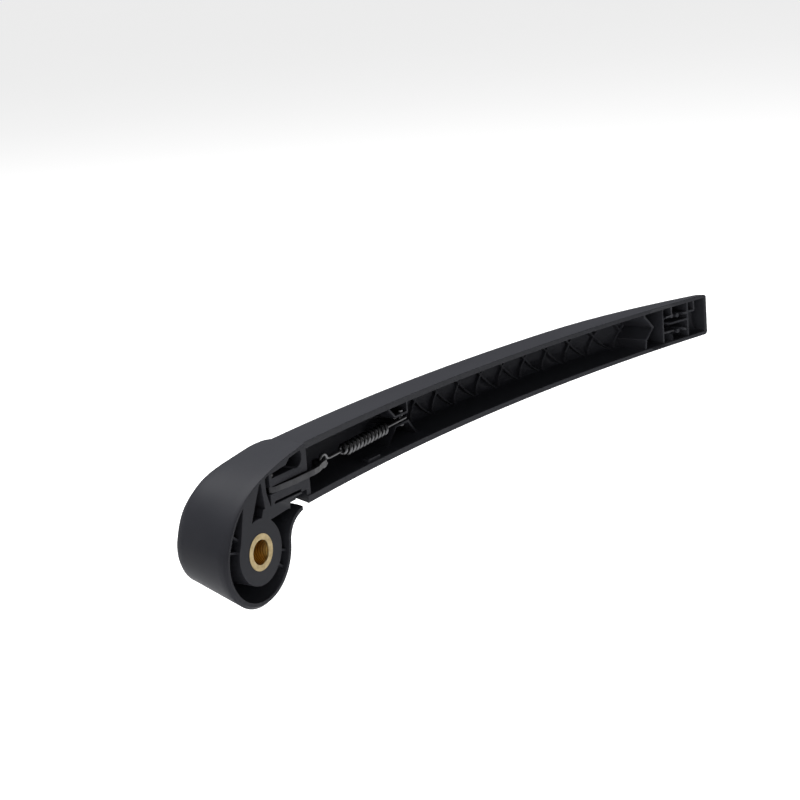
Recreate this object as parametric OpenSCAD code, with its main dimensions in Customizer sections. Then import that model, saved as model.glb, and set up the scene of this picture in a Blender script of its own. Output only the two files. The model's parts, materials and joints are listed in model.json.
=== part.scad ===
// Rear wiper arm: a hollow head that bolts to the wiper spindle and a sprung channel arm hinged to it.
// Millimetres. +X runs along the arm to its tip, +Y points away from the glass, +Z is up.
// The origin is the centre of the spindle bore, on the glass-side face of the boss.

/* [Spindle seat] */
// Radius of the bore that fits the wiper spindle
spindle_r = 5; // [4:0.1:6]
// Length of the straight part of the spindle bore
spindle_len = 9; // [6:0.5:10]
// Outer radius of the brass insert
insert_r = 7.5; // [6.8:0.1:9]
// Radius of the flange under the nut
insert_flange_r = 9; // [8.5:0.1:9.5]
// Distance from the boss face to the nut seat
nut_seat_y = 14; // [12:0.5:18]
// Radius of the recess that takes the nut and a socket
nut_recess_r = 9.8; // [9.7:0.1:10.4]
// Outer radius of the boss
boss_r = 13.5; // [12.4:0.1:14.5]

/* [Drum] */
// Radius of the drum at its glass-side rim
drum_r = 20.4; // [19:0.2:22]
// Radius of the drum near its outer end
drum_outer_r = 17.6; // [17:0.2:19]
// Distance that the outer end of the drum is set up from its rim
drum_rise = 3.4; // [2:0.2:4]
// Depth of the drum from rim to outer face
drum_depth = 29.4; // [28:0.2:32]
// Rounding of the outer edge of the drum
drum_edge = 4; // [2:0.5:5]
// Wall thickness of the head
head_wall = 1.7; // [1.4:0.1:2.2]
// Wall thickness of the head at its rim
rim_wall = 1.1; // [0.9:0.1:1.4]
// Distance that the drum swells just behind its rim
rim_swell = 0.9; // [0.3:0.1:1.2]
// Thickness of the outer face of the head
head_roof = 2.2; // [1.8:0.1:3]

/* [Hinge] */
// Distance from the spindle to the hinge pin along the arm
pin_x = 34; // [32:0.5:36]
// Distance of the hinge pin from the boss face
pin_y = 18.3; // [17.5:0.1:19]
// Radius of the hinge pin
pin_r = 2; // [1.6:0.1:2.4]
// Radius of the rounded end of the head around the hinge pin
knuckle_r = 5.6; // [5.2:0.1:6]
// Radius of the eyes of the arm around the hinge pin
eye_r = 4.8; // [4.2:0.1:5]
// Thickness of each hinge eye
eye_w = 3.6; // [2.6:0.1:4]
// Distance from the middle of the arm to the inner face of each eye
eye_z = 4.9; // [4.4:0.1:5.2]
// Running clearance of the hinge pin in the eyes
pin_fit = 0.06; // [0.02:0.01:0.1]
// Gap between head and arm along their seam
seam_gap = 0.5; // [0.4:0.05:0.8]

/* [Tension link] */
// Distance of the link pin from the spindle along the arm
link_x = 13; // [12:0.5:14]
// Distance of the link pin from the boss face
link_y = 2.5; // [2.3:0.1:3]
// Radius of the link pin
link_pin_r = 1.5; // [1.2:0.1:1.7]
// Thickness of the link's plate
link_w = 2.4; // [2:0.1:2.6]
// Width of the slot that the link runs in
link_slot_w = 3; // [3:0.1:3.4]
// Thickness of each web beside the slot
web_w = 3.3; // [2.8:0.1:3.3]

/* [Spring] */
// Diameter of the spring wire
wire_d = 1.5; // [1.2:0.1:1.6]
// Outer diameter of the coil
coil_d = 6; // [5.6:0.1:7]
// Number of coils
coils = 13; // [10:1:16]
// Distance of the spring hook's pin from the spindle along the arm
anchor_x = 120.5; // [119:0.5:122]
// Distance of the spring hook's pin from the boss face
anchor_y = 12.2; // [11.8:0.1:12.8]
// Radius of the spring hook's pin
anchor_pin_r = 1.5; // [1.2:0.1:1.6]

/* [Arm] */
// Distance from the spindle to the tip of the arm
tip_x = 343; // [335:1:355]
// Height of the middle of the arm above the spindle
arm_z = 22.2; // [21.5:0.1:23]
// Width of the arm at the hinge
arm_w = 25.6; // [24.6:0.2:26.6]
// Width of the arm at its tip
tip_w = 20.8; // [20:0.2:22]
// Depth of the arm over most of its length
arm_depth = 24; // [23:0.2:25]
// Depth of the arm at its tip
tip_depth = 9; // [8:0.5:11]
// Distance from the tip where the arm starts to get shallower
nose_len = 92; // [70:2:120]
// Lean of the side walls in degrees
draft = 4; // [2:0.5:5]
// Height of the rounded back of the arm
cap_h = 6; // [4:0.5:7]
// Squareness of the rounded back
cap_n = 2.6; // [2:0.1:4]
// Radius of the arm's long curve towards the glass
arch_r = 930; // [860:10:1000]
// Distance from the spindle to the highest point of the curve
arch_x = 96; // [90:1:102]
// Distance of the rim from the boss face at that point
arch_y = 3.4; // [3:0.1:3.8]
// Thickness of the side walls at the hinge
side_wall = 2.9; // [2.4:0.1:3.2]
// Thickness of the side walls at the tip
tip_wall = 1.7; // [1.4:0.1:2]
// Thickness of the back of the arm
back_wall = 2.2; // [1.8:0.1:2.8]
// Rounding of the tip
tip_round = 2; // [1.5:0.5:4]

/* [Ribs] */
// Thickness of the ribs
rib_w = 1; // [0.8:0.1:1.4]
// Height of the crossed ribs on the inside of the back
lattice_h = 1.8; // [1:0.1:3]
// Length of one crossed cell
lattice_pitch = 16.8; // [14:0.2:20]
// Distance from the spindle to the first crossed cell
lattice_x = 122.4; // [122:0.2:126]
// Distance that the ribs stay below the rim
rib_drop = 0.7; // [0.3:0.1:1.2]

/* [Hidden] */
black_plastic = "#26272a";
steel_grey = "#8d9096";
dark_steel = "#4c4e52";
brass = "#c79a45";
eps = 0.01;
far = 400;
face_out = 0.15;
cap_r = 11.4;
cap_t = 1.6;
cap_fit = 0.1;
skirt_t = 1.2;
skirt_len = 6;
mouth = 0.1;
stud_r = 4.1;
drum_x = -0.5;
drum_z = -1;
ring_from = -3;
ring_to = -202;
ring_to_outer = -197;
arc_steps = 44;
shoulder_steps = 16;
lip_h = 1.2;
lip_shift = 0.55;
top_slope = 3;
neck_steps = 8;
hub_x = 11;
hub_z = 15;
seam_foot_x = 35.4;
seam_foot_y = 1.3;
clear_r = knuckle_r + seam_gap;
roof_lead = 3.6;
slot_play = 0.35;
eye_play = 0.8;
eye_bar = eye_r - 0.3;
eye_rib = 20;
neck_end_x = 29.5;
neck_cap_from = 20;
neck_cap_h = 6.5;
neck_proud = 0.2;
neck_notch_y = 9;
neck_notch_z = 6;
block_x = 9.4;
lobe_x = 27.3;
lobe_z = 8.6;
lobe_r = 4.1;
slit_w = 1.1;
slit_deep = 14;
lift_max = 45;
hinge_half = arm_w / 2 - pin_y * tan(draft) - 1.9;
link_half = link_slot_w / 2 + web_w + 1;
link_fit = 0.07;
spring_x = 50;
hook_gap = 0.1;
wire_r = wire_d / 2;
hook_r = anchor_pin_r + wire_r + hook_gap;
axis_y = anchor_y - hook_r;
pull = atan2(axis_y - link_y, anchor_x - link_x);
spring_y = link_y + (spring_x - link_x) * tan(pull);
link_eye_r = 3;
link_hole_r = 1.45;
loop_r = 2.6;
coil_from = 66;
coil_to = 105;
rib_top_y = 10;
anchor_half = 2.05;
pin_stick = 0.9;
end_half = 2.8;
end_depth = 9;

function mix(a, b, t) = a + (b - a) * t;
function clamp(v, a, b) = min(max(v, a), b);
function bezier(p, q, r, s, t) =
    pow(1 - t, 3) * p + 3 * t * pow(1 - t, 2) * q + 3 * t * t * (1 - t) * r + t * t * t * s;

// Rim of the arm, its width and its depth at a distance x from the spindle
function rim(x) = arch_y - pow(x - arch_x, 2) / (2 * arch_r);
function along(x) = clamp((x - pin_x) / (tip_x - pin_x), 0, 1);
function nose(x) = let (d = x - (tip_x - tip_round))
    d <= 0 ? 0 : tip_round - sqrt(max(0, tip_round * tip_round - d * d));
function half_w(x) = mix(arm_w, tip_w, along(x)) / 2 - nose(x) * 0.8;
function depth(x) = let (k = max(0, (x - (tip_x - nose_len)) / nose_len))
    arm_depth - (arm_depth - tip_depth) * k * k - nose(x) * 0.6;
function wall_at(x) = mix(side_wall, tip_wall, along(x));

// Straight part of a cross section, then its rounded back; a runs from -90 to 90 degrees
function back_point(w, d, h, a) =
    let (u = d - h + h * pow(abs(cos(a)), 2 / cap_n))
    [u, sign(a) * pow(abs(sin(a)), 2 / cap_n) * (w - u * tan(draft))];
function section(w, d, open) = let (h = min(cap_h, d * 0.6)) concat(
    [[open, -(w - open * tan(draft))]],
    [for (k = [-6:6]) back_point(w, d, h, k * 15)],
    [[open, w - open * tan(draft)]]);
function lift_section(x, pts) = [for (p = pts) [x, rim(x) + p[0], arm_z + p[1]]];

// Skin over rings of points that all have the same count. Fans from a point inside the first and last
// ring close it, and every point of the ring is in plain sight of that point.
function middle(ring) = let (n = len(ring)) [for (k = [0:2]) [for (p = ring) 1 / n] * [for (p = ring) p[k]]];
function skin_faces(n, m) = concat(
    [for (j = [0:m - 1]) [n * m, j, (j + 1) % m]],
    [for (i = [0:n - 2], j = [0:m - 1]) let (k = (j + 1) % m) [i * m + j, (i + 1) * m + j, (i + 1) * m + k]],
    [for (i = [0:n - 2], j = [0:m - 1]) let (k = (j + 1) % m) [i * m + j, (i + 1) * m + k, i * m + k]],
    [for (j = [0:m - 1]) [n * m + 1, (n - 1) * m + (j + 1) % m, (n - 1) * m + j]]);
module skin(rings, from, to) {
    n = len(rings);
    polyhedron(points = concat([for (r = rings, p = r) p], [from, to]), faces = skin_faces(n, len(rings[0])));
}
module plain_skin(rings) {
    skin(rings, middle(rings[0]), middle(rings[len(rings) - 1]));
}
module head_skin(rings) {
    skin(rings, [hub_x, rings[0][0][1], hub_z], [hub_x, rings[len(rings) - 1][0][1], hub_z]);
}

// Places of the cross sections, closer together round the tip
function stations(from, to) = concat(
    [for (i = [0:24]) mix(from, to - tip_round, i / 24)],
    [for (a = [30, 60, 80]) to - tip_round + tip_round * sin(a)]);

// A flat shape drawn in X and Z, made solid from y0 to y1
module slab(y0, y1) {
    translate([0, y1, 0]) rotate([90, 0, 0]) linear_extrude(y1 - y0) children();
}
// A round bar along Y
module post(x, z, r, y0, y1) {
    translate([x, y0, z]) rotate([-90, 0, 0]) cylinder(h = y1 - y0, r = r, $fn = 64);
}
// A round bar along Z
module cross_bar(x, y, r, z0, z1) {
    translate([x, y, z0]) cylinder(h = z1 - z0, r = r, $fn = 48);
}
// A flat bar of width t between two points, with square ends
module bar(p, q, t) {
    a = atan2(q[1] - p[1], q[0] - p[0]);
    translate(p) rotate(a) translate([0, -t / 2]) square([norm(q - p), t]);
}
module path(pts, t) {
    for (i = [0:len(pts) - 2]) bar(pts[i], pts[i + 1], t);
    for (i = [1:len(pts) - 2]) translate(pts[i]) circle(d = t, $fn = 24);
}

// Plan of the head at a distance y from the boss face: drum, shoulder, end and neck, clockwise
function level(y) = clamp(y / (drum_depth - drum_edge), 0, 1);
function lip(y) = clamp(y / lip_h, 0, 1);
function drum_c(y) = [drum_x, drum_z + drum_rise * level(y)] - lip_shift * lip(y) * (1 - level(y)) * [1, 1];
function drum_rad(y) = mix(drum_r + rim_swell * lip(y), drum_outer_r, level(y));
function shoulder(p, s, d, k) =
    let (a = mix(0.36, 0.44, k), b = mix(0.46, 0.53, k), e = mix(0.17, 0.13, k), w = [sin(s), -cos(s)])
    [for (i = [1:shoulder_steps]) bezier(p[0], p[0] + a * d * w, p[1] - b * d * [sqrt(1 - e * e), e], p[1],
        i / shoulder_steps)];
function seam_x(y) = mix(seam_foot_x, pin_x + clear_r, (y - seam_foot_y) / (pin_y - seam_foot_y));
function end_x(y) =
    y <= pin_y ? seam_x(y) - seam_gap :
    y <= pin_y + knuckle_r * 0.995 ? pin_x + sqrt(knuckle_r * knuckle_r - pow(y - pin_y, 2)) :
    pin_x - (y - pin_y - knuckle_r) * top_slope;
function end_half_w(y) =
    let (u = y - rim(pin_x), q = clamp((u - neck_cap_from) / neck_cap_h, 0, 0.96))
    (arm_w / 2 + neck_proud - u * tan(draft)) * pow(1 - pow(q, 3), 1 / 3);
function plan(y, t) =
    let (c = drum_c(y), r = drum_rad(y) - t, x = end_x(y) - t, h = end_half_w(y) - t,
        s = mix(ring_to, ring_to_outer, level(y)),
        p0 = c + r * [cos(s), sin(s)], p3 = [x, arm_z + h],
        q3 = c + r * [cos(ring_from), sin(ring_from)], q0 = [x, arm_z - h], e = norm(q3 - q0))
    concat(
        [for (i = [0:arc_steps]) let (a = mix(ring_from, s, i / arc_steps)) c + r * [cos(a), sin(a)]],
        shoulder([p0, p3], s, norm(p3 - p0), level(y)),
        [for (i = [0:neck_steps - 1]) bezier(q0, q0 - [0.5 * e, 0], q3 + [0.02 * e, 0.36 * e], q3,
            i / neck_steps)]);
function edge_at(y) = let (d = y - (drum_depth - drum_edge))
    d <= 0 ? 0 : drum_edge - sqrt(max(0, drum_edge * drum_edge - d * d));
function head_ring(y, t, e) = [for (p = plan(y, t + min(edge_at(y), e))) [p[0], y, p[1]]];
function lower(ring, d) = [for (p = ring) [p[0], p[1] - d, p[2]]];
head_levels = concat([0, lip_h, 5, 10, 15, pin_y, 20.5, 22.3, 23.4, 24.4],
    [for (a = [0, 28, 50, 70]) drum_depth - drum_edge + drum_edge * sin(a)]);

module head_outside() {
    head_skin([for (y = head_levels) head_ring(y, 0, drum_edge)]);
}
module head_inside() {
    head_skin(concat([lower(head_ring(0, rim_wall, 0), 2)],
        [for (y = head_levels) if (y > lip_h + head_roof && y < drum_depth - drum_edge / 2)
            lower(head_ring(y, head_wall, drum_edge), head_roof)]));
}
// Block beside the link's slot on the outer side of the arm, with the pocket that makes it lighter
module upper_block() {
    web = link_slot_w / 2 + web_w;
    difference() {
        translate([block_x, arm_z + link_slot_w / 2]) square([40, 30]);
        translate([lobe_x, arm_z + lobe_z]) circle(r = lobe_r, $fn = 64);
        polygon([[block_x + 1.6, arm_z + web], [lobe_x + 1, arm_z + web], [lobe_x + 2, arm_z + web + 1.2],
            [lobe_x - 3, arm_z + lobe_z + 2], [lobe_x - 6.4, arm_z + lobe_z - 0.8],
            [block_x + 7.4, arm_z + 7.3], [block_x + 1.6, arm_z + 6.7]]);
    }
}
// Block on the drum's side of the slot, and the narrow slit along it
module lower_block() {
    top = arm_z - link_slot_w / 2;
    foot = top - web_w - slit_w;
    polygon([[block_x, top], [block_x + 40, top], [block_x + 40, foot - 1], [21.5, foot - 1],
        [21.3, 11.6], [20.1, 12], [8.1, 11], [2, 12], [4, foot], [block_x, foot]]);
}
module slit() {
    translate([block_x + 2.2, arm_z - link_slot_w / 2 - web_w - slit_w])
        square([neck_end_x - block_x - 2.2, slit_w]);
}
// Everything that stands inside the head and is flush with its rim
module head_ribs() {
    slab(-1, far) {
        circle(r = boss_r, $fn = 96);
        polygon([[-12.9, 2], [-8.1, 21.2], [-8, 30], [4, 32], [3.2, 27.7], [-4.4, 12]]);
        polygon([[3.4, 31], [5.2, 16.6], [2, 12], [8.1, 10], [8.9, 16.1], [6.9, 22], [6.6, 31]]);
        upper_block();
        translate([neck_end_x, arm_z - 14]) square([12, 14 - link_slot_w / 2]);
    }
    difference() {
        slab(-1, far) lower_block();
        slab(-2, slit_deep) slit();
    }
    slab(1.6, far) for (a = [144, 165, 324, 345])
        bar(boss_r * 0.9 * [cos(a), sin(a)], (drum_r + 3.6) * [cos(a), sin(a)], 0.9);
}
module head() {
    slot = link_slot_w / 2;
    color(black_plastic) difference() {
        head_outside();
        difference() {
            head_inside();
            head_ribs();
        }
        post(0, 0, insert_r, -1, nut_seat_y + 1);
        post(0, 0, nut_recess_r, nut_seat_y, far);
        translate([22, -1, arm_z - slot]) cube([30, far, link_slot_w]);
        for (s = [-1, 1]) translate([0, 0, arm_z + s * (eye_z + eye_w / 2) - eye_w / 2 - slot_play])
            linear_extrude(eye_w + 2 * slot_play) eye_sweep(eye_r + eye_play);
        translate([neck_end_x, -1, arm_z - 20]) cube([30, neck_notch_y + 1, 20 - neck_notch_z]);
        cross_bar(pin_x, pin_y, pin_r, arm_z - far, arm_z + hinge_half);
        cross_bar(link_x, link_y, link_pin_r, arm_z - link_half, arm_z + link_half);
    }
}
// Space that an eye of radius r and its bar sweep while the arm is lifted
module eye_sweep(r) {
    translate([pin_x, pin_y]) {
        circle(r = r, $fn = 64);
        rotate(lift_max) translate([0, -r]) square([60, 2 * r]);
        polygon([[0, -r], [60, -r], [60, 60], [0, 0]]);
    }
}

module spindle_insert() {
    color(brass) difference() {
        union() {
            post(0, 0, insert_r, -face_out, nut_seat_y + eps);
            post(0, 0, insert_flange_r, nut_seat_y, nut_seat_y + 1.5);
        }
        post(0, 0, spindle_r, -1, spindle_len);
        post(0, 0, stud_r, 0, nut_seat_y + 5);
        translate([0, -face_out - eps, 0]) rotate([-90, 0, 0])
            cylinder(h = mouth, r1 = spindle_r + mouth, r2 = spindle_r, $fn = 64);
        translate([0, spindle_len - eps, 0]) rotate([-90, 0, 0])
            cylinder(h = 2, r1 = spindle_r, r2 = stud_r, $fn = 64);
    }
}

module nut_cap() {
    y0 = drum_depth + 0.05;
    outer = nut_recess_r - cap_fit;
    color(black_plastic) translate([0, y0, 0]) rotate([-90, 0, 0]) rotate_extrude($fn = 96) polygon([
        [0, 0], [outer - skirt_t, 0], [outer - skirt_t, -skirt_len], [outer, -skirt_len], [outer, 0],
        [cap_r, 0], [cap_r, cap_t * 0.4], [cap_r - 1, cap_t], [0, cap_t * 1.6]]);
}

module hinge_pin() {
    color(steel_grey) cross_bar(pin_x, pin_y, pin_r, arm_z - hinge_half - 0.7, arm_z + hinge_half);
}
module link_pin() {
    color(steel_grey) cross_bar(link_x, link_y, link_pin_r, arm_z - link_half, arm_z + link_half);
}
module anchor_pin() {
    half = anchor_half + rib_w / 2 + pin_stick;
    color(steel_grey) cross_bar(anchor_x, anchor_y, anchor_pin_r, arm_z - half, arm_z + half);
}

// Bowed plate that reaches round the hinge pin from the link pin to the end of the spring
module tension_link() {
    low = -1.2;
    belly = 0.9;
    color(steel_grey) translate([0, 0, arm_z - link_w / 2]) linear_extrude(link_w) difference() {
        union() {
            translate([link_x, link_y]) circle(r = link_eye_r, $fn = 48);
            translate([spring_x, spring_y]) circle(r = link_eye_r, $fn = 48);
            polygon([[link_x, link_y - link_eye_r], [24, low - 0.2], [38, low], [42, -0.6], [46, 1],
                [spring_x + 1, spring_y - link_eye_r + 0.2], [spring_x, spring_y + link_eye_r], [46.5, 6.6],
                [43.6, 3.6], [42, belly], [36, belly - 0.1], [24, belly + 0.5], [18, belly + 1.9],
                [link_x, link_y + link_eye_r]]);
        }
        translate([link_x, link_y]) circle(r = link_pin_r + link_fit, $fn = 48);
        translate([spring_x, spring_y]) circle(r = link_hole_r, $fn = 48);
    }
}

// Wire swept along points; each ring lies square to the path
function unit(v) = v / norm(v);
function tangent(p, i) = unit(p[min(i + 1, len(p) - 1)] - p[max(i - 1, 0)]);
function side_of(t) = unit(cross(t, abs(t[2]) > 0.9 ? [0, 1, 0] : [0, 0, 1]));
function carry(p, i, s) = let (t = tangent(p, i), v = s - (s * t) * t) unit(v);
function frames(p, i, s, out) = i >= len(p) ? out :
    let (n = i == 0 ? side_of(tangent(p, 0)) : carry(p, i, s)) frames(p, i + 1, n, concat(out, [n]));
module wire(p, r, sides) {
    f = frames(p, 0, [0, 0, 1], []);
    plain_skin([for (i = [0:len(p) - 1]) let (t = tangent(p, i), n = f[i], b = cross(t, n))
        [for (k = [0:sides - 1]) let (a = -360 * k / sides) p[i] + r * (cos(a) * n + sin(a) * b)]]);
}

// Centre line of the spring in its own axis: s along the pull, u square to it, z across the arm
coil_mean = (coil_d - wire_d) / 2;
turn_steps = 14;
function from_axis(s, u, z) = [link_x + s * cos(pull) - u * sin(pull), link_y + s * sin(pull) + u * cos(pull),
    arm_z + z];
s_loop = (spring_x - link_x) / cos(pull);
s_from = (coil_from - link_x) / cos(pull);
s_to = (coil_to - link_x) / cos(pull);
s_end = (anchor_x - link_x) / cos(pull);
function loop_part() = [for (a = [-150:20:170])
    from_axis(s_loop + loop_r - loop_r * cos(a), 0, loop_r * sin(a))];
function coil_part() = [for (i = [0:coils * turn_steps]) let (a = 360 * i / turn_steps,
    k = min(1, i / turn_steps, coils - i / turn_steps))
    from_axis(mix(s_from, s_to, i / (coils * turn_steps)), coil_mean * k * sin(a), coil_mean * k * cos(a))];
function hook_part() = [for (a = [-90:18:126])
    [anchor_x + hook_r * cos(a), anchor_y + hook_r * sin(a), arm_z]];
module spring() {
    color(dark_steel) wire(concat(loop_part(), [from_axis(s_loop + 2 * loop_r + 2, 0, 0)], coil_part(),
        hook_part()), wire_r, 8);
}

module arm_outside() {
    plain_skin([for (x = stations(30, tip_x)) lift_section(x, section(half_w(x), depth(x), 0))]);
}
module arm_inside(less_depth, less_side) {
    plain_skin([for (x = stations(28, tip_x - tip_wall)) lift_section(x,
        section(half_w(x) - wall_at(x) + less_side, depth(x) - back_wall - less_depth, -1.5))]);
}
// Shallow space under the rim, so that the ribs stay below it
module arm_relief() {
    plain_skin([for (x = stations(28, tip_x - tip_wall)) let (w = half_w(x) - wall_at(x)) lift_section(x,
        [[-1, -w], [rib_drop, -w], [rib_drop, w], [-1, w]])]);
}
lattice_cells = floor((tip_x - 35 - lattice_x) / lattice_pitch + eps);
// Crossed ribs on the inside of the back
module lattice() {
    half = arm_w / 2 - side_wall - arm_depth * tan(draft) + 0.6;
    difference() {
        slab(-far, far) for (i = [0:lattice_cells - 1]) let (x = lattice_x + i * lattice_pitch) {
            bar([x, arm_z - half], [x + lattice_pitch, arm_z + half], rib_w);
            bar([x, arm_z + half], [x + lattice_pitch, arm_z - half], rib_w);
        }
        arm_inside(lattice_h, 0.3);
    }
}
// Ribs that hold the pin of the spring's hook
module anchor_ribs() {
    end_up = anchor_x + 2.9;
    knee = anchor_x - 6.7;
    foot = anchor_x - 14.9;
    wide = 10.2;
    slab(rib_top_y, far) {
        for (s = [-1, 1]) path([[foot, arm_z + s * wide], [knee, arm_z + s * anchor_half],
            [end_up, arm_z + s * anchor_half]], rib_w);
        path([[end_up - 1, arm_z + anchor_half], [end_up, arm_z + anchor_half], [end_up, arm_z + 12]], rib_w);
        path([[end_up - 1, arm_z - anchor_half], [end_up, arm_z - anchor_half],
            [end_up + 7.1, arm_z - wide]], rib_w);
    }
}
// Wavy wall and the small ribs that take the blade's adapter, measured back from the tip
module tip_ribs() {
    x0 = tip_x - 1;
    z0 = arm_z;
    slab(-far, far) {
        path([[x0 - 44.6, z0 + 12], [x0 - 44.6, z0 + 7.5], [x0 - 38.8, z0 + 1.4], [x0 - 44.2, z0 - 4.2],
            [x0 - 45, z0 - 12]], rib_w * 1.1);
        bar([x0 - 31, z0 - 12], [x0 - 31, z0 + 12], rib_w);
        bar([x0 - 24.4, z0 + 4.2], [x0 - 24.4, z0 + 12], rib_w);
        bar([x0 - 24.4, z0 - 12], [x0 - 24.4, z0 - 4.9], rib_w);
        bar([x0 - 12.4, z0 - 12], [x0 - 12.4, z0 + 12], rib_w);
        path([[x0 - 12.4, z0 + 3.8], [x0 - 7.6, z0 + 3.8], [x0 - 7.6, z0 + 12]], rib_w);
        bar([x0 - 31, z0 + 4], [x0 - 24, z0 + 4.2], rib_w);
        bar([x0 - 25.8, z0 + 0.4], [x0 - 12.4, z0 + 0.2], rib_w);
        bar([x0 - 31, z0 - 3.5], [x0 - 23, z0 - 3.7], rib_w);
        bar([x0 - 16.4, z0 + 3.7], [x0 - 12.9, z0 + 3.6], rib_w * 1.2);
        bar([x0 - 18, z0 - 3.5], [x0 - 13.5, z0 - 4.9], rib_w * 1.2);
        for (p = [[-24.2, 4.1], [-20.1, 3.7], [-20, -4.5]])
            translate([x0 + p[0], z0 + p[1]]) circle(r = 1.1, $fn = 24);
    }
}
module arm_blocks() {
    slab(-far, rim(pin_x) + end_depth) {
        translate([30, arm_z + end_half]) square([37.6 - 30, 12]);
        translate([30, arm_z - 14.8]) square([38.6 - 30, 12]);
    }
    slab(-far, rim(88) + 4) translate([83, arm_z - 12]) square([9, 4]);
}
// One hinge eye with the rib that carries it into the channel
module eye_plate(length) {
    translate([pin_x, pin_y]) {
        circle(r = eye_r, $fn = 64);
        translate([0, -eye_r]) square([length, eye_r + eye_bar]);
    }
}
module eyes(length) {
    for (s = [-1, 1]) translate([0, 0, arm_z + s * (eye_z + eye_w / 2) - eye_w / 2]) linear_extrude(eye_w)
        eye_plate(length);
}
module arm() {
    color(black_plastic) difference() {
        union() {
            difference() {
                arm_outside();
                difference() {
                    arm_inside(0, 0);
                    lattice();
                    anchor_ribs();
                    tip_ribs();
                    arm_blocks();
                    eyes(eye_rib);
                }
                arm_relief();
                seam_cut();
            }
            eyes(roof_lead + 4);
        }
        cross_bar(pin_x, pin_y, pin_r + pin_fit, arm_z - 20, arm_z + 20);
        cross_bar(anchor_x, anchor_y, anchor_pin_r, arm_z - anchor_half - rib_w / 2 - pin_stick,
            arm_z + anchor_half + rib_w / 2 + pin_stick);
    }
}
module seam_cut() {
    deep = 2 * drum_depth;
    translate([0, 0, arm_z - deep]) linear_extrude(2 * deep) {
        polygon([[-deep, -deep], [seam_x(-deep), -deep], [pin_x + clear_r, pin_y], [pin_x + roof_lead, pin_y],
            [pin_x + roof_lead, deep], [-deep, deep]]);
        translate([pin_x, pin_y]) circle(r = clear_r, $fn = 64);
    }
}

head();
spindle_insert();
nut_cap();
hinge_pin();
link_pin();
tension_link();
anchor_pin();
spring();
arm();
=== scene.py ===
"""Looks of a rear wiper arm: moulded black plastic, a turned brass insert and steel link parts.

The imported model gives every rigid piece. This file dresses them, winds the spring from round wire,
and sets the plain studio with the camera at the angle of the photograph. Metres throughout.
"""

import json
import logging
import math
from dataclasses import dataclass
from enum import Enum

import bpy
from mathutils import Matrix, Vector

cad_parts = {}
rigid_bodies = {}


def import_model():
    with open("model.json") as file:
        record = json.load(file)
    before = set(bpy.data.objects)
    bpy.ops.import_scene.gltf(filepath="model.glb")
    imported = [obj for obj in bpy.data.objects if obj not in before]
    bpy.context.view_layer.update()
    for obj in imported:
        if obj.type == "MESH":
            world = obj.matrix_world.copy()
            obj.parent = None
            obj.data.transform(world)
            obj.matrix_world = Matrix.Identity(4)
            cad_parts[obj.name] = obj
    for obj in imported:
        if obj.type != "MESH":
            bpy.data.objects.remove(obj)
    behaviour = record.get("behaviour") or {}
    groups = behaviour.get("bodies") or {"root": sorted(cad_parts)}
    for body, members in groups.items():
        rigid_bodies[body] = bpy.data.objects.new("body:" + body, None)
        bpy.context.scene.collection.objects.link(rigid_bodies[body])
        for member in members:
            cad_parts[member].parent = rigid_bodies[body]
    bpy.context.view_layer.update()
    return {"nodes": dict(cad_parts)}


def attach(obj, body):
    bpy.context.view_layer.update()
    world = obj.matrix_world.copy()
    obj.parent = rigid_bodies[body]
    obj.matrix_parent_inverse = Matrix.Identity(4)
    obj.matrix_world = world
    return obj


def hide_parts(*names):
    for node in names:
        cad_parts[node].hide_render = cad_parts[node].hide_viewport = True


log = logging.getLogger("wiper_arm")

MM = 0.001
EVEN = (1.0, 1.0, 1.0)
WHITE = (1.0, 1.0, 1.0, 1.0)

# Sockets of the colour form of Blender's mix node, which share their names with its other forms
MIX_FACTOR = 0
MIX_FIRST = 6
MIX_SECOND = 7
MIX_RESULT = 2

# Bands in a metre of Blender's wave texture, times the pitch of one band
WAVE_BANDS = 0.314

Point = tuple[float, float, float]
Colour = tuple[float, float, float]


class Body(Enum):
    """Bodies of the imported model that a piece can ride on."""

    HEAD = "head"
    ARM = "arm"
    LINK = "link"
    SPRING = "spring"
    CAP = "cap"


class Node(Enum):
    """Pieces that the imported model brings."""

    HEAD = "head"
    INSERT = "spindle_insert"
    CAP = "nut_cap"
    HINGE_PIN = "hinge_pin"
    LINK_PIN = "link_pin"
    LINK = "tension_link"
    ANCHOR_PIN = "anchor_pin"
    SPRING = "spring"
    ARM = "arm"


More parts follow.
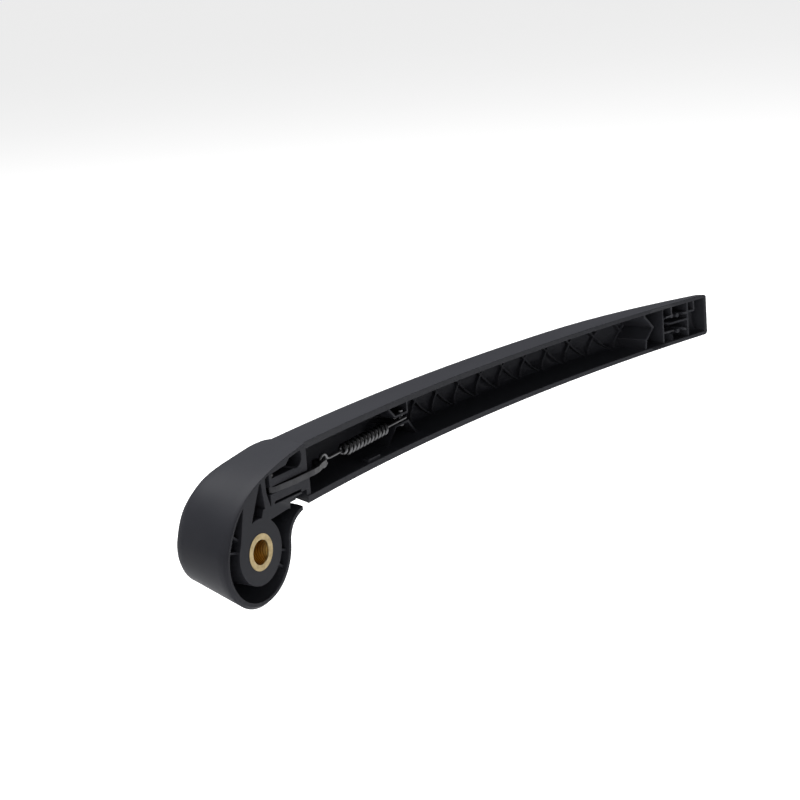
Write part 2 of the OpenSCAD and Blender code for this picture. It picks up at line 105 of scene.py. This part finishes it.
class Graph:
    """A small helper that wires one material's nodes."""

    def __init__(self, name: str) -> None:
        """Starts a material with an empty principled shader.

        Args:
            name: The material's name.
        """
        self.material = bpy.data.materials.new(name)
        self.material.use_nodes = True
        self.tree = self.material.node_tree
        self.shader = next(n for n in self.tree.nodes if n.type == "BSDF_PRINCIPLED")
        self.coords = self.tree.nodes.new("ShaderNodeTexCoord")

    def link(self, start: bpy.types.NodeSocket, end: bpy.types.NodeSocket) -> None:
        """Joins one socket to another.

        Args:
            start: Output socket.
            end: Input socket.
        """
        self.tree.links.new(start, end)

    def set(self, **values: float | Colour) -> None:
        """Sets shader sockets that are the same all over the surface.

        Args:
            values: Socket names with underscores for spaces, and their values.
        """
        for name, value in values.items():
            socket = self.shader.inputs[name.replace("_", " ")]
            socket.default_value = (*value, 1.0) if isinstance(value, tuple) else value

    def mapping(self, scale: Point = EVEN) -> bpy.types.NodeSocket:
        """Object coordinates, stretched.

        Args:
            scale: Factor along each axis.

        Returns:
            The vector socket of the mapped coordinates.
        """
        node = self.tree.nodes.new("ShaderNodeMapping")
        node.inputs["Scale"].default_value = scale
        self.link(self.coords.outputs["Object"], node.inputs["Vector"])
        return node.outputs["Vector"]

    def noise(
        self, where: bpy.types.NodeSocket, scale: float, detail: float = 3.0
    ) -> bpy.types.NodeSocket:
        """Soft random pattern.

        Args:
            where: Vector socket that places the pattern.
            scale: Number of blots in a metre.
            detail: Octaves of finer pattern.

        Returns:
            The factor socket.
        """
        node = self.tree.nodes.new("ShaderNodeTexNoise")
        node.inputs["Scale"].default_value = scale
        node.inputs["Detail"].default_value = detail
        self.link(where, node.inputs["Vector"])
        return node.outputs["Fac"]

    def ramp(
        self, factor: bpy.types.NodeSocket, stops: list[tuple[float, Colour]]
    ) -> bpy.types.NodeSocket:
        """Turns a factor into a colour.

        Args:
            factor: Socket with values from 0 to 1.
            stops: Places and colours, in rising order.

        Returns:
            The colour socket.
        """
        node = self.tree.nodes.new("ShaderNodeValToRGB")
        while len(node.color_ramp.elements) < len(stops):
            node.color_ramp.elements.new(0.5)
        for element, (place, colour) in zip(node.color_ramp.elements, stops):
            element.position = place
            element.color = (*colour, 1.0)
        self.link(factor, node.inputs["Fac"])
        return node.outputs["Color"]

    def spread(self, factor: bpy.types.NodeSocket, low: float, high: float) -> bpy.types.NodeSocket:
        """Maps a factor from 0..1 to low..high.

        Args:
            factor: Socket with values from 0 to 1.
            low: Result at 0.
            high: Result at 1.

        Returns:
            The result socket.
        """
        node = self.tree.nodes.new("ShaderNodeMapRange")
        node.inputs["To Min"].default_value = low
        node.inputs["To Max"].default_value = high
        self.link(factor, node.inputs["Value"])
        return node.outputs["Result"]

    def step(self, value: bpy.types.NodeSocket, start: float, end: float) -> bpy.types.NodeSocket:
        """Maps a value from start..end to 0..1 and holds it there outside.

        Args:
            value: Socket with the value.
            start: Value at which the result is 0.
            end: Value at which the result is 1.

        Returns:
            The result socket.
        """
        node = self.tree.nodes.new("ShaderNodeMapRange")
        node.inputs["From Min"].default_value = start
        node.inputs["From Max"].default_value = end
        self.link(value, node.inputs["Value"])
        return node.outputs["Result"]

    def combine(
        self, operation: str, one: bpy.types.NodeSocket, other: bpy.types.NodeSocket
    ) -> bpy.types.NodeSocket:
        """Works out one value from two.

        Args:
            operation: Blender's name of the operation.
            one: Socket of the first value.
            other: Socket of the second value.

        Returns:
            The result socket.
        """
        node = self.tree.nodes.new("ShaderNodeMath")
        node.operation = operation
        self.link(one, node.inputs[0])
        self.link(other, node.inputs[1])
        return node.outputs["Value"]

    def soft_edge(self, radius: float, samples: int = 4) -> bpy.types.NodeSocket:
        """Normal of the surface as if its edges were rounded.

        Args:
            radius: Radius of the rounding in metres.
            samples: Number of probes that each point takes.

        Returns:
            The normal socket.
        """
        node = self.tree.nodes.new("ShaderNodeBevel")
        node.samples = samples
        node.inputs["Radius"].default_value = radius
        return node.outputs["Normal"]

    def edge_mask(
        self,
        rounded: bpy.types.NodeSocket,
        low: float,
        high: float,
        broken: bpy.types.NodeSocket,
    ) -> bpy.types.NodeSocket:
        """How near an edge a point lies, broken up by a random pattern.

        Args:
            rounded: Normal socket with rounded edges.
            low: Turn of the normal at which the mask starts.
            high: Turn of the normal at which the mask is full.
            broken: Factor that breaks the mask up.

        Returns:
            The mask socket, 0 on plain faces.
        """
        flat = self.tree.nodes.new("ShaderNodeNewGeometry")
        dot = self.tree.nodes.new("ShaderNodeVectorMath")
        dot.operation = "DOT_PRODUCT"
        self.link(rounded, dot.inputs[0])
        self.link(flat.outputs["Normal"], dot.inputs[1])
        turn = self.step(dot.outputs["Value"], 1.0 - low, 1.0 - high)
        return self.combine("MULTIPLY", turn, broken)

    def blend(
        self,
        factor: bpy.types.NodeSocket,
        skin: bpy.types.NodeSocket,
        over: Colour | bpy.types.NodeSocket,
    ) -> bpy.types.NodeSocket:
        """Lays a second colour over the first.

        Args:
            factor: How much of the second colour shows.
            skin: Socket of the first colour.
            over: The second colour, or its socket.

        Returns:
            The colour socket.
        """
        node = self.tree.nodes.new("ShaderNodeMix")
        node.data_type = "RGBA"
        if isinstance(over, tuple):
            node.inputs[MIX_SECOND].default_value = (*over, 1.0)
        else:
            self.link(over, node.inputs[MIX_SECOND])
        self.link(factor, node.inputs[MIX_FACTOR])
        self.link(skin, node.inputs[MIX_FIRST])
        return node.outputs[MIX_RESULT]

    def bump(
        self,
        heights: list[tuple[bpy.types.NodeSocket, float]],
        distance: float,
        normal: bpy.types.NodeSocket | None = None,
    ) -> None:
        """Adds relief to the surface.

        Args:
            heights: Height sockets with the strength of each.
            distance: Height of the relief in metres.
            normal: Normal that the relief starts from, or None for the surface's own.
        """
        for height, strength in heights:
            node = self.tree.nodes.new("ShaderNodeBump")
            node.inputs["Strength"].default_value = strength
            node.inputs["Distance"].default_value = distance
            self.link(height, node.inputs["Height"])
            if normal is not None:
                self.link(normal, node.inputs["Normal"])
            normal = node.outputs["Normal"]
        self.link(normal, self.shader.inputs["Normal"])


@dataclass(frozen=True)
class MouldedPlastic:
    """Glass-filled black plastic with a fine eroded texture, faint flow marks, and lighter edges
    that are partly rubbed wear and partly painted highlight.
    """

    name: str = "moulded_plastic"
    dark: Colour = (0.0275, 0.0283, 0.0342)
    light: Colour = (0.0380, 0.0390, 0.0458)
    # Lighter edge colour: partly rubbed wear, partly a painted highlight on every edge, hollow ones
    # too
    rubbed_and_highlit: Colour = (0.046, 0.047, 0.055)
    rough_low: float = 0.46
    rough_high: float = 0.60
    grain: float = 2600.0
    grain_relief: float = 0.30
    flow: float = 26.0
    flow_stretch: Point = (0.22, 1.0, 1.0)
    flow_relief: float = 0.06
    relief: float = 0.00005
    edge_r: float = 0.00032
    edge_turn: tuple[float, float] = (0.05, 0.45)
    edge_wear_and_highlight_blots: float = 340.0
    shine: float = 0.10

    def build(self) -> bpy.types.Material:
        """Makes the material.

        Returns:
            The new material.
        """
        g = Graph(self.name)
        plain = g.mapping()
        flow = g.noise(g.mapping(self.flow_stretch), self.flow, 4.0)
        grain = g.noise(plain, self.grain, 2.0)
        skin = g.ramp(flow, [(0.3, self.dark), (0.72, self.light)])
        rounded = g.soft_edge(self.edge_r)
        # Painted edge highlight mixed with rubbed wear: lighter colour near every edge, broken up by
        # blots
        rub_and_highlight = g.edge_mask(rounded, *self.edge_turn, g.noise(plain, self.edge_wear_and_highlight_blots))
        g.link(g.blend(rub_and_highlight, skin, self.rubbed_and_highlit), g.shader.inputs["Base Color"])
        g.link(g.spread(flow, self.rough_low, self.rough_high), g.shader.inputs["Roughness"])
        g.set(Specular_IOR_Level=self.shine, IOR=1.5)
        g.bump([(grain, self.grain_relief), (flow, self.flow_relief)], self.relief, rounded)
        return g.material


@dataclass(frozen=True)
class TurnedBrass:
    """Brass turned on a lathe: a pale face and a deeper yellow bore with fine rings, whose bright
    colour bands are painted highlight lines on darker brass.
    """

    name: str = "turned_brass"
    dark: Colour = (0.20, 0.15, 0.075)
    light: Colour = (0.34, 0.27, 0.15)
    # Bore ring colours: dark brass between the rings, and painted highlight lines along them
    ring_dark: Colour = (0.44, 0.25, 0.055)
    ring_highlight: Colour = (0.90, 0.64, 0.24)
    ring_pitch: float = 0.0008
    ring_relief: float = 0.8
    blots: float = 420.0
    blot_relief: float = 0.12
    relief: float = 0.00016
    face: tuple[float, float] = (0.0001, 0.0005)
    rough_low: float = 0.24
    rough_high: float = 0.40

    def build(self) -> bpy.types.Material:
        """Makes the material.

        Returns:
            The new material.
        """
        g = Graph(self.name)
        plain = g.mapping()
        wave = g.tree.nodes.new("ShaderNodeTexWave")
        wave.wave_type = "BANDS"
        wave.bands_direction = "Y"
        wave.inputs["Scale"].default_value = WAVE_BANDS / self.ring_pitch
        wave.inputs["Distortion"].default_value = 0.35
        wave.inputs["Detail"].default_value = 2.0
        g.link(plain, wave.inputs["Vector"])
        blots = g.noise(plain, self.blots, 4.0)
        bare = g.ramp(blots, [(0.28, self.dark), (0.66, self.light)])
        parts = g.tree.nodes.new("ShaderNodeSeparateXYZ")
        g.link(plain, parts.inputs["Vector"])
        deep = g.step(parts.outputs["Y"], *self.face)
        # Painted highlight lines: the bore's colour follows the rings, from dark brass to a bright
        # highlight
        turned = g.ramp(wave.outputs["Fac"], [(0.35, self.ring_dark), (0.95, self.ring_highlight)])
        g.link(g.blend(deep, bare, turned), g.shader.inputs["Base Color"])
        g.link(g.spread(blots, self.rough_low, self.rough_high), g.shader.inputs["Roughness"])
        g.set(Metallic=1.0)
        rings = (wave.outputs["Fac"], self.ring_relief)
        g.bump([rings, (blots, self.blot_relief)], self.relief)
        return g.material


@dataclass(frozen=True)
class Steel:
    """Plain steel with drawing or rolling marks along one direction."""

    name: str
    dark: Colour
    light: Colour
    rough_low: float
    rough_high: float
    stretch: Point
    marks: float = 900.0
    mark_relief: float = 0.2
    tone: float = 130.0
    relief: float = 0.00003

    def build(self) -> bpy.types.Material:
        """Makes the material.

        Returns:
            The new material.
        """
        g = Graph(self.name)
        marks = g.noise(g.mapping(self.stretch), self.marks, 5.0)
        tone = g.noise(g.mapping(), self.tone)
        g.link(g.ramp(tone, [(0.3, self.dark), (0.7, self.light)]), g.shader.inputs["Base Color"])
        g.link(g.spread(marks, self.rough_low, self.rough_high), g.shader.inputs["Roughness"])
        g.set(Metallic=1.0)
        g.bump([(marks, self.mark_relief)], self.relief)
        return g.material


STAMPED_STEEL = Steel(
    name="stamped_steel",
    dark=(0.022, 0.022, 0.024),
    light=(0.042, 0.042, 0.045),
    rough_low=0.30,
    rough_high=0.44,
    stretch=(1.0, 0.2, 1.0),
)
GROUND_STEEL = Steel(
    name="ground_steel",
    dark=(0.05, 0.05, 0.053),
    light=(0.10, 0.10, 0.105),
    rough_low=0.30,
    rough_high=0.44,
    stretch=(1.0, 1.0, 0.15),
)
SPRING_WIRE = Steel(
    name="spring_wire",
    dark=(0.07, 0.07, 0.073),
    light=(0.14, 0.14, 0.145),
    rough_low=0.26,
    rough_high=0.40,
    stretch=(0.3, 1.0, 1.0),
    marks=700.0,
)


class Workshop:
    """Runs the modelling operators on one piece at a time."""

    def clear(self) -> None:
        """Deselects everything and leaves edit mode."""
        if bpy.context.object is not None and bpy.context.object.mode != "OBJECT":
            bpy.ops.object.mode_set(mode="OBJECT")
        bpy.ops.object.select_all(action="DESELECT")

    def take(self, piece: bpy.types.Object) -> None:
        """Makes one piece the only selected and active one.

        Args:
            piece: The piece to work on.
        """
        self.clear()
        piece.select_set(True)
        bpy.context.view_layer.objects.active = piece

    def settle(self, piece: bpy.types.Object, angle: float) -> None:
        """Puts the piece's place into its mesh and smooths its faces.

        Args:
            piece: The piece to finish.
            angle: Edges sharper than this many degrees stay sharp.
        """
        self.take(piece)
        bpy.ops.object.transform_apply(location=True, rotation=True, scale=True)
        bpy.ops.object.shade_smooth_by_angle(angle=math.radians(angle))

    def modify(self, piece: bpy.types.Object, kind: str, **settings: float | str | bool) -> None:
        """Adds a modifier and applies it.

        Args:
            piece: The piece to change.
            kind: Blender's name of the modifier's type.
            settings: The modifier's own settings.
        """
        self.take(piece)
        modifier = piece.modifiers.new(kind.lower(), kind)
        for key, value in settings.items():
            setattr(modifier, key, value)
        bpy.ops.object.modifier_apply(modifier=modifier.name)


def dress(piece: bpy.types.Object, material: bpy.types.Material) -> None:
    """Gives every slot of a piece the same material.

    Args:
        piece: The piece to dress.
        material: Its finish.
    """
    slots = piece.data.materials
    if len(slots) == 0:
        slots.append(material)
    for i in range(len(slots)):
        slots[i] = material


@dataclass
class TensionSpring:
    """Extension spring wound from round wire, with an eye at the link and a hook at the pin.

    Lengths are in millimetres and angles in degrees.
    """

    shop: Workshop
    link_pin: tuple[float, float] = (13.0, 2.5)
    anchor: tuple[float, float] = (120.5, 12.2)
    height: float = 22.2
    eye_x: float = 50.0
    wire_r: float = 0.75
    hook_r: float = 2.35
    eye_r: float = 2.6
    coil_from: float = 66.0
    coil_to: float = 105.0
    coil_r: float = 2.25
    coils: int = 13
    steps: int = 28
    eye_turns: range = range(-150, 171, 10)
    eye_gap: float = 2.0
    hook_turns: range = range(-90, 127, 9)
    crease: float = 60.0
    facets: int = 3

    def axis(self) -> float:
        """Angle of the pull in radians."""
        rise = self.anchor[1] - self.hook_r - self.link_pin[1]
        return math.atan2(rise, self.anchor[0] - self.link_pin[0])

    def place(self, s: float, u: float, z: float) -> Vector:
        """Turns spring coordinates into the frame.

        Args:
            s: Distance along the pull from the link pin.
            u: Distance square to it.
            z: Height above the middle of the arm.

        Returns:
            The point in metres.
        """
        a = self.axis()
        return MM * Vector((
            self.link_pin[0] + s * math.cos(a) - u * math.sin(a),
            self.link_pin[1] + s * math.sin(a) + u * math.cos(a),
            self.height + z,
        ))

    def centre_line(self) -> list[Vector]:
        """Points of the wire's middle from the eye to the hook.

        Returns:
            The points in metres.
        """
        k = 1.0 / math.cos(self.axis())
        first = (self.eye_x - self.link_pin[0]) * k
        start = (self.coil_from - self.link_pin[0]) * k
        stop = (self.coil_to - self.link_pin[0]) * k
        points = []
        for turn in map(math.radians, self.eye_turns):
            along = first + self.eye_r * (1.0 - math.cos(turn))
            points.append(self.place(along, 0.0, self.eye_r * math.sin(turn)))
        points.append(self.place(first + 2.0 * self.eye_r + self.eye_gap, 0.0, 0.0))
        total = self.coils * self.steps
        for i in range(total + 1):
            turn = 2.0 * math.pi * i / self.steps
            r = self.coil_r * min(1.0, i / self.steps, self.coils - i / self.steps)
            along = start + (stop - start) * i / total
            points.append(self.place(along, r * math.sin(turn), r * math.cos(turn)))
        for turn in map(math.radians, self.hook_turns):
            points.append(MM * Vector((
                self.anchor[0] + self.hook_r * math.cos(turn),
                self.anchor[1] + self.hook_r * math.sin(turn),
                self.height,
            )))
        return points

    def build(self, finish: bpy.types.Material) -> bpy.types.Object:
        """Winds the wire and sets it in place of the plain one.

        Args:
            finish: Material of the wire.

        Returns:
            The spring.
        """
        self.shop.clear()
        bpy.ops.curve.primitive_nurbs_path_add(location=(0.0, 0.0, 0.0))
        piece = bpy.context.object
        piece.name = "wound_spring"
        curve = piece.data
        curve.dimensions = "3D"
        curve.splines.clear()
        spline = curve.splines.new("POLY")
        points = self.centre_line()
        spline.points.add(len(points) - 1)
        for target, point in zip(spline.points, points):
            target.co = (*point, 1.0)
        curve.bevel_depth = self.wire_r * MM
        curve.bevel_resolution = self.facets
        curve.use_fill_caps = True
        curve.twist_mode = "MINIMUM"
        bpy.ops.object.convert(target="MESH")
        piece = bpy.context.object
        self.shop.settle(piece, self.crease)
        dress(piece, finish)
        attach(piece, Body.SPRING.value)
        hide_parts(Node.SPRING.value)
        log.info("spring: %d points of wire", len(points))
        return piece


@dataclass
class Castings:
    """The pieces that the model brings, with their finishes.

    Lengths are in millimetres and angles in degrees.
    """

    nodes: dict[str, bpy.types.Object]
    shop: Workshop
    crease: float = 30.0
    weld: float = 0.002
    sliver: float = 0.004
    flat: float = 0.04

    def smooth_shell(self, node: Node, body: Body, finish: bpy.types.Material) -> bpy.types.Object:
        """Stands a smoothly shaded copy of a moulding in its place.

        Args:
            node: The moulding.
            body: The body that the copy rides on.
            finish: Its material.

        Returns:
            The copy.
        """
        source = self.nodes[node.value]
        self.shop.take(source)
        bpy.ops.object.duplicate()
        piece = bpy.context.object
        piece.name = f"{node.value}_shell"
        bpy.ops.object.parent_clear(type="CLEAR_KEEP_TRANSFORM")
        bpy.ops.object.mode_set(mode="EDIT")
        bpy.ops.mesh.select_all(action="SELECT")
        bpy.ops.mesh.remove_doubles(threshold=self.weld * MM)
        bpy.ops.mesh.dissolve_degenerate(threshold=self.sliver * MM)
        bpy.ops.mesh.dissolve_limited(angle_limit=math.radians(self.flat))
        bpy.ops.object.mode_set(mode="OBJECT")
        self.shop.settle(piece, self.crease)
        self.shop.modify(piece, "WEIGHTED_NORMAL", mode="FACE_AREA", keep_sharp=True)
        dress(piece, finish)
        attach(piece, body.value)
        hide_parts(node.value)
        log.info("%s: %d faces", piece.name, len(piece.data.polygons))
        return piece

    def dress_all(self) -> None:
        """Gives each piece its material."""
        plastic = MouldedPlastic().build()
        brass = TurnedBrass().build()
        stamped = STAMPED_STEEL.build()
        ground = GROUND_STEEL.build()
        finishes = {
            Node.HEAD: plastic,
            Node.ARM: plastic,
            Node.CAP: plastic,
            Node.INSERT: brass,
            Node.LINK: stamped,
            Node.HINGE_PIN: ground,
            Node.LINK_PIN: ground,
            Node.ANCHOR_PIN: ground,
            Node.SPRING: stamped,
        }
        for node, finish in finishes.items():
            dress(self.nodes[node.value], finish)
            log.info("%s: %s", node.value, finish.name)
        self.smooth_shell(Node.HEAD, Body.HEAD, plastic)
        self.smooth_shell(Node.ARM, Body.ARM, plastic)


@dataclass(frozen=True)
class SoftLamp:
    """One square lamp that points at the middle of the arm."""

    name: str
    at: Point
    size: float
    watts: float
    aim: Point = (0.12, 0.0, 0.01)

    def hang(self) -> None:
        """Adds the lamp to the scene."""
        lamp = bpy.data.lights.new(self.name, "AREA")
        lamp.shape = "SQUARE"
        lamp.size = self.size
        lamp.energy = self.watts
        holder = bpy.data.objects.new(self.name, lamp)
        bpy.context.scene.collection.objects.link(holder)
        turn = (Vector(self.aim) - Vector(self.at)).to_track_quat("-Z", "Y")
        holder.matrix_world = Matrix.Translation(Vector(self.at)) @ turn.to_matrix().to_4x4()


LAMPS = (
    SoftLamp("over_lamp", (0.16, 0.34, 1.15), 0.9, 20.5),
    SoftLamp("left_lamp", (-1.1, -0.20, 0.30), 0.8, 2.0),
    SoftLamp("front_lamp", (0.10, -1.1, 0.08), 0.45, 1.3),
)


@dataclass
class Studio:
    """Pale floor and backdrop, soft lamps and the camera of the photograph."""

    floor_z: float = -0.062
    floor_size: float = 40.0
    paper_low: Colour = (0.80, 0.80, 0.80)
    paper_high: Colour = (0.82, 0.82, 0.82)
    glow: float = 0.72
    fill: float = 0.14
    camera_at: Point = (-0.61220, -0.49450, 0.25570)
    lens: float = 94.5
    right: Point = (0.550350, -0.831375, -0.077005)
    up: Point = (0.246541, 0.073700, 0.966326)
    back: Point = (-0.797704, -0.550803, 0.245529)

    def backdrop_material(self) -> bpy.types.Material:
        """White for the camera and in reflections, plain pale grey for the light.

        Returns:
            The material.
        """
        g = Graph("pale_paper")
        tree = g.tree
        out = next(n for n in tree.nodes if n.type == "OUTPUT_MATERIAL")
        blots = g.noise(g.mapping(), 3.0, 2.0)
        tone = g.ramp(blots, [(0.2, self.paper_low), (0.8, self.paper_high)])
        g.link(tone, g.shader.inputs["Base Color"])
        g.set(Roughness=0.9, Specular_IOR_Level=0.1)
        glow = tree.nodes.new("ShaderNodeEmission")
        glow.inputs["Color"].default_value = WHITE
        glow.inputs["Strength"].default_value = self.glow
        path = tree.nodes.new("ShaderNodeLightPath")
        seen = g.combine("MAXIMUM", path.outputs["Is Camera Ray"], path.outputs["Is Glossy Ray"])
        seen = g.combine("MAXIMUM", seen, path.outputs["Is Transmission Ray"])
        both = tree.nodes.new("ShaderNodeAddShader")
        g.link(g.shader.outputs["BSDF"], both.inputs[0])
        g.link(glow.outputs["Emission"], both.inputs[1])
        mix = tree.nodes.new("ShaderNodeMixShader")
        g.link(seen, mix.inputs["Fac"])
        g.link(g.shader.outputs["BSDF"], mix.inputs[1])
        g.link(both.outputs["Shader"], mix.inputs[2])
        g.link(mix.outputs["Shader"], out.inputs["Surface"])
        return g.material

    def lay_floor(self, shop: Workshop) -> None:
        """Adds the floor.

        Args:
            shop: The workshop that runs the operators.
        """
        shop.clear()
        bpy.ops.mesh.primitive_plane_add(size=self.floor_size, location=(0.0, 0.0, self.floor_z))
        floor = bpy.context.object
        floor.name = "studio_floor"
        dress(floor, self.backdrop_material())

    def light_world(self) -> None:
        """Even soft light from all round, white where the camera looks past the floor."""
        world = bpy.data.worlds.new("studio_world")
        bpy.context.scene.world = world
        world.use_nodes = True
        tree = world.node_tree
        back = next(n for n in tree.nodes if n.type == "BACKGROUND")
        back.inputs["Color"].default_value = WHITE
        path = tree.nodes.new("ShaderNodeLightPath")
        most = tree.nodes.new("ShaderNodeMath")
        most.operation = "MAXIMUM"
        tree.links.new(path.outputs["Is Camera Ray"], most.inputs[0])
        tree.links.new(path.outputs["Is Transmission Ray"], most.inputs[1])
        power = tree.nodes.new("ShaderNodeMapRange")
        power.inputs["To Min"].default_value = self.fill
        power.inputs["To Max"].default_value = 1.0
        tree.links.new(most.outputs[0], power.inputs["Value"])
        tree.links.new(power.outputs["Result"], back.inputs["Strength"])

    def set_camera(self) -> None:
        """Puts the camera where the photograph was taken from."""
        data = bpy.data.cameras.new("camera")
        data.sensor_fit = "HORIZONTAL"
        data.sensor_width = 36.0
        data.lens = self.lens
        data.clip_start = 0.01
        data.clip_end = 100.0
        camera = bpy.data.objects.new("camera", data)
        bpy.context.scene.collection.objects.link(camera)
        rows = [(self.right[i], self.up[i], self.back[i], self.camera_at[i]) for i in range(3)]
        camera.matrix_world = Matrix((*rows, (0.0, 0.0, 0.0, 1.0)))
        bpy.context.scene.camera = camera

    def build(self, shop: Workshop) -> None:
        """Sets up the whole studio.

        Args:
            shop: The workshop that runs the operators.
        """
        bpy.context.scene.view_settings.view_transform = "Standard"
        self.lay_floor(shop)
        self.light_world()
        for lamp in LAMPS:
            lamp.hang()
        self.set_camera()
        log.info("studio: floor, lamps and camera")


def main() -> None:
    """Builds and dresses the arm, piece by piece."""
    logging.basicConfig(level=logging.INFO, format="%(name)s %(message)s")
    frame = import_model()
    shop = Workshop()
    Castings(frame["nodes"], shop).dress_all()
    TensionSpring(shop).build(SPRING_WIRE.build())
    Studio().build(shop)


if __name__ == "__main__":
    main()
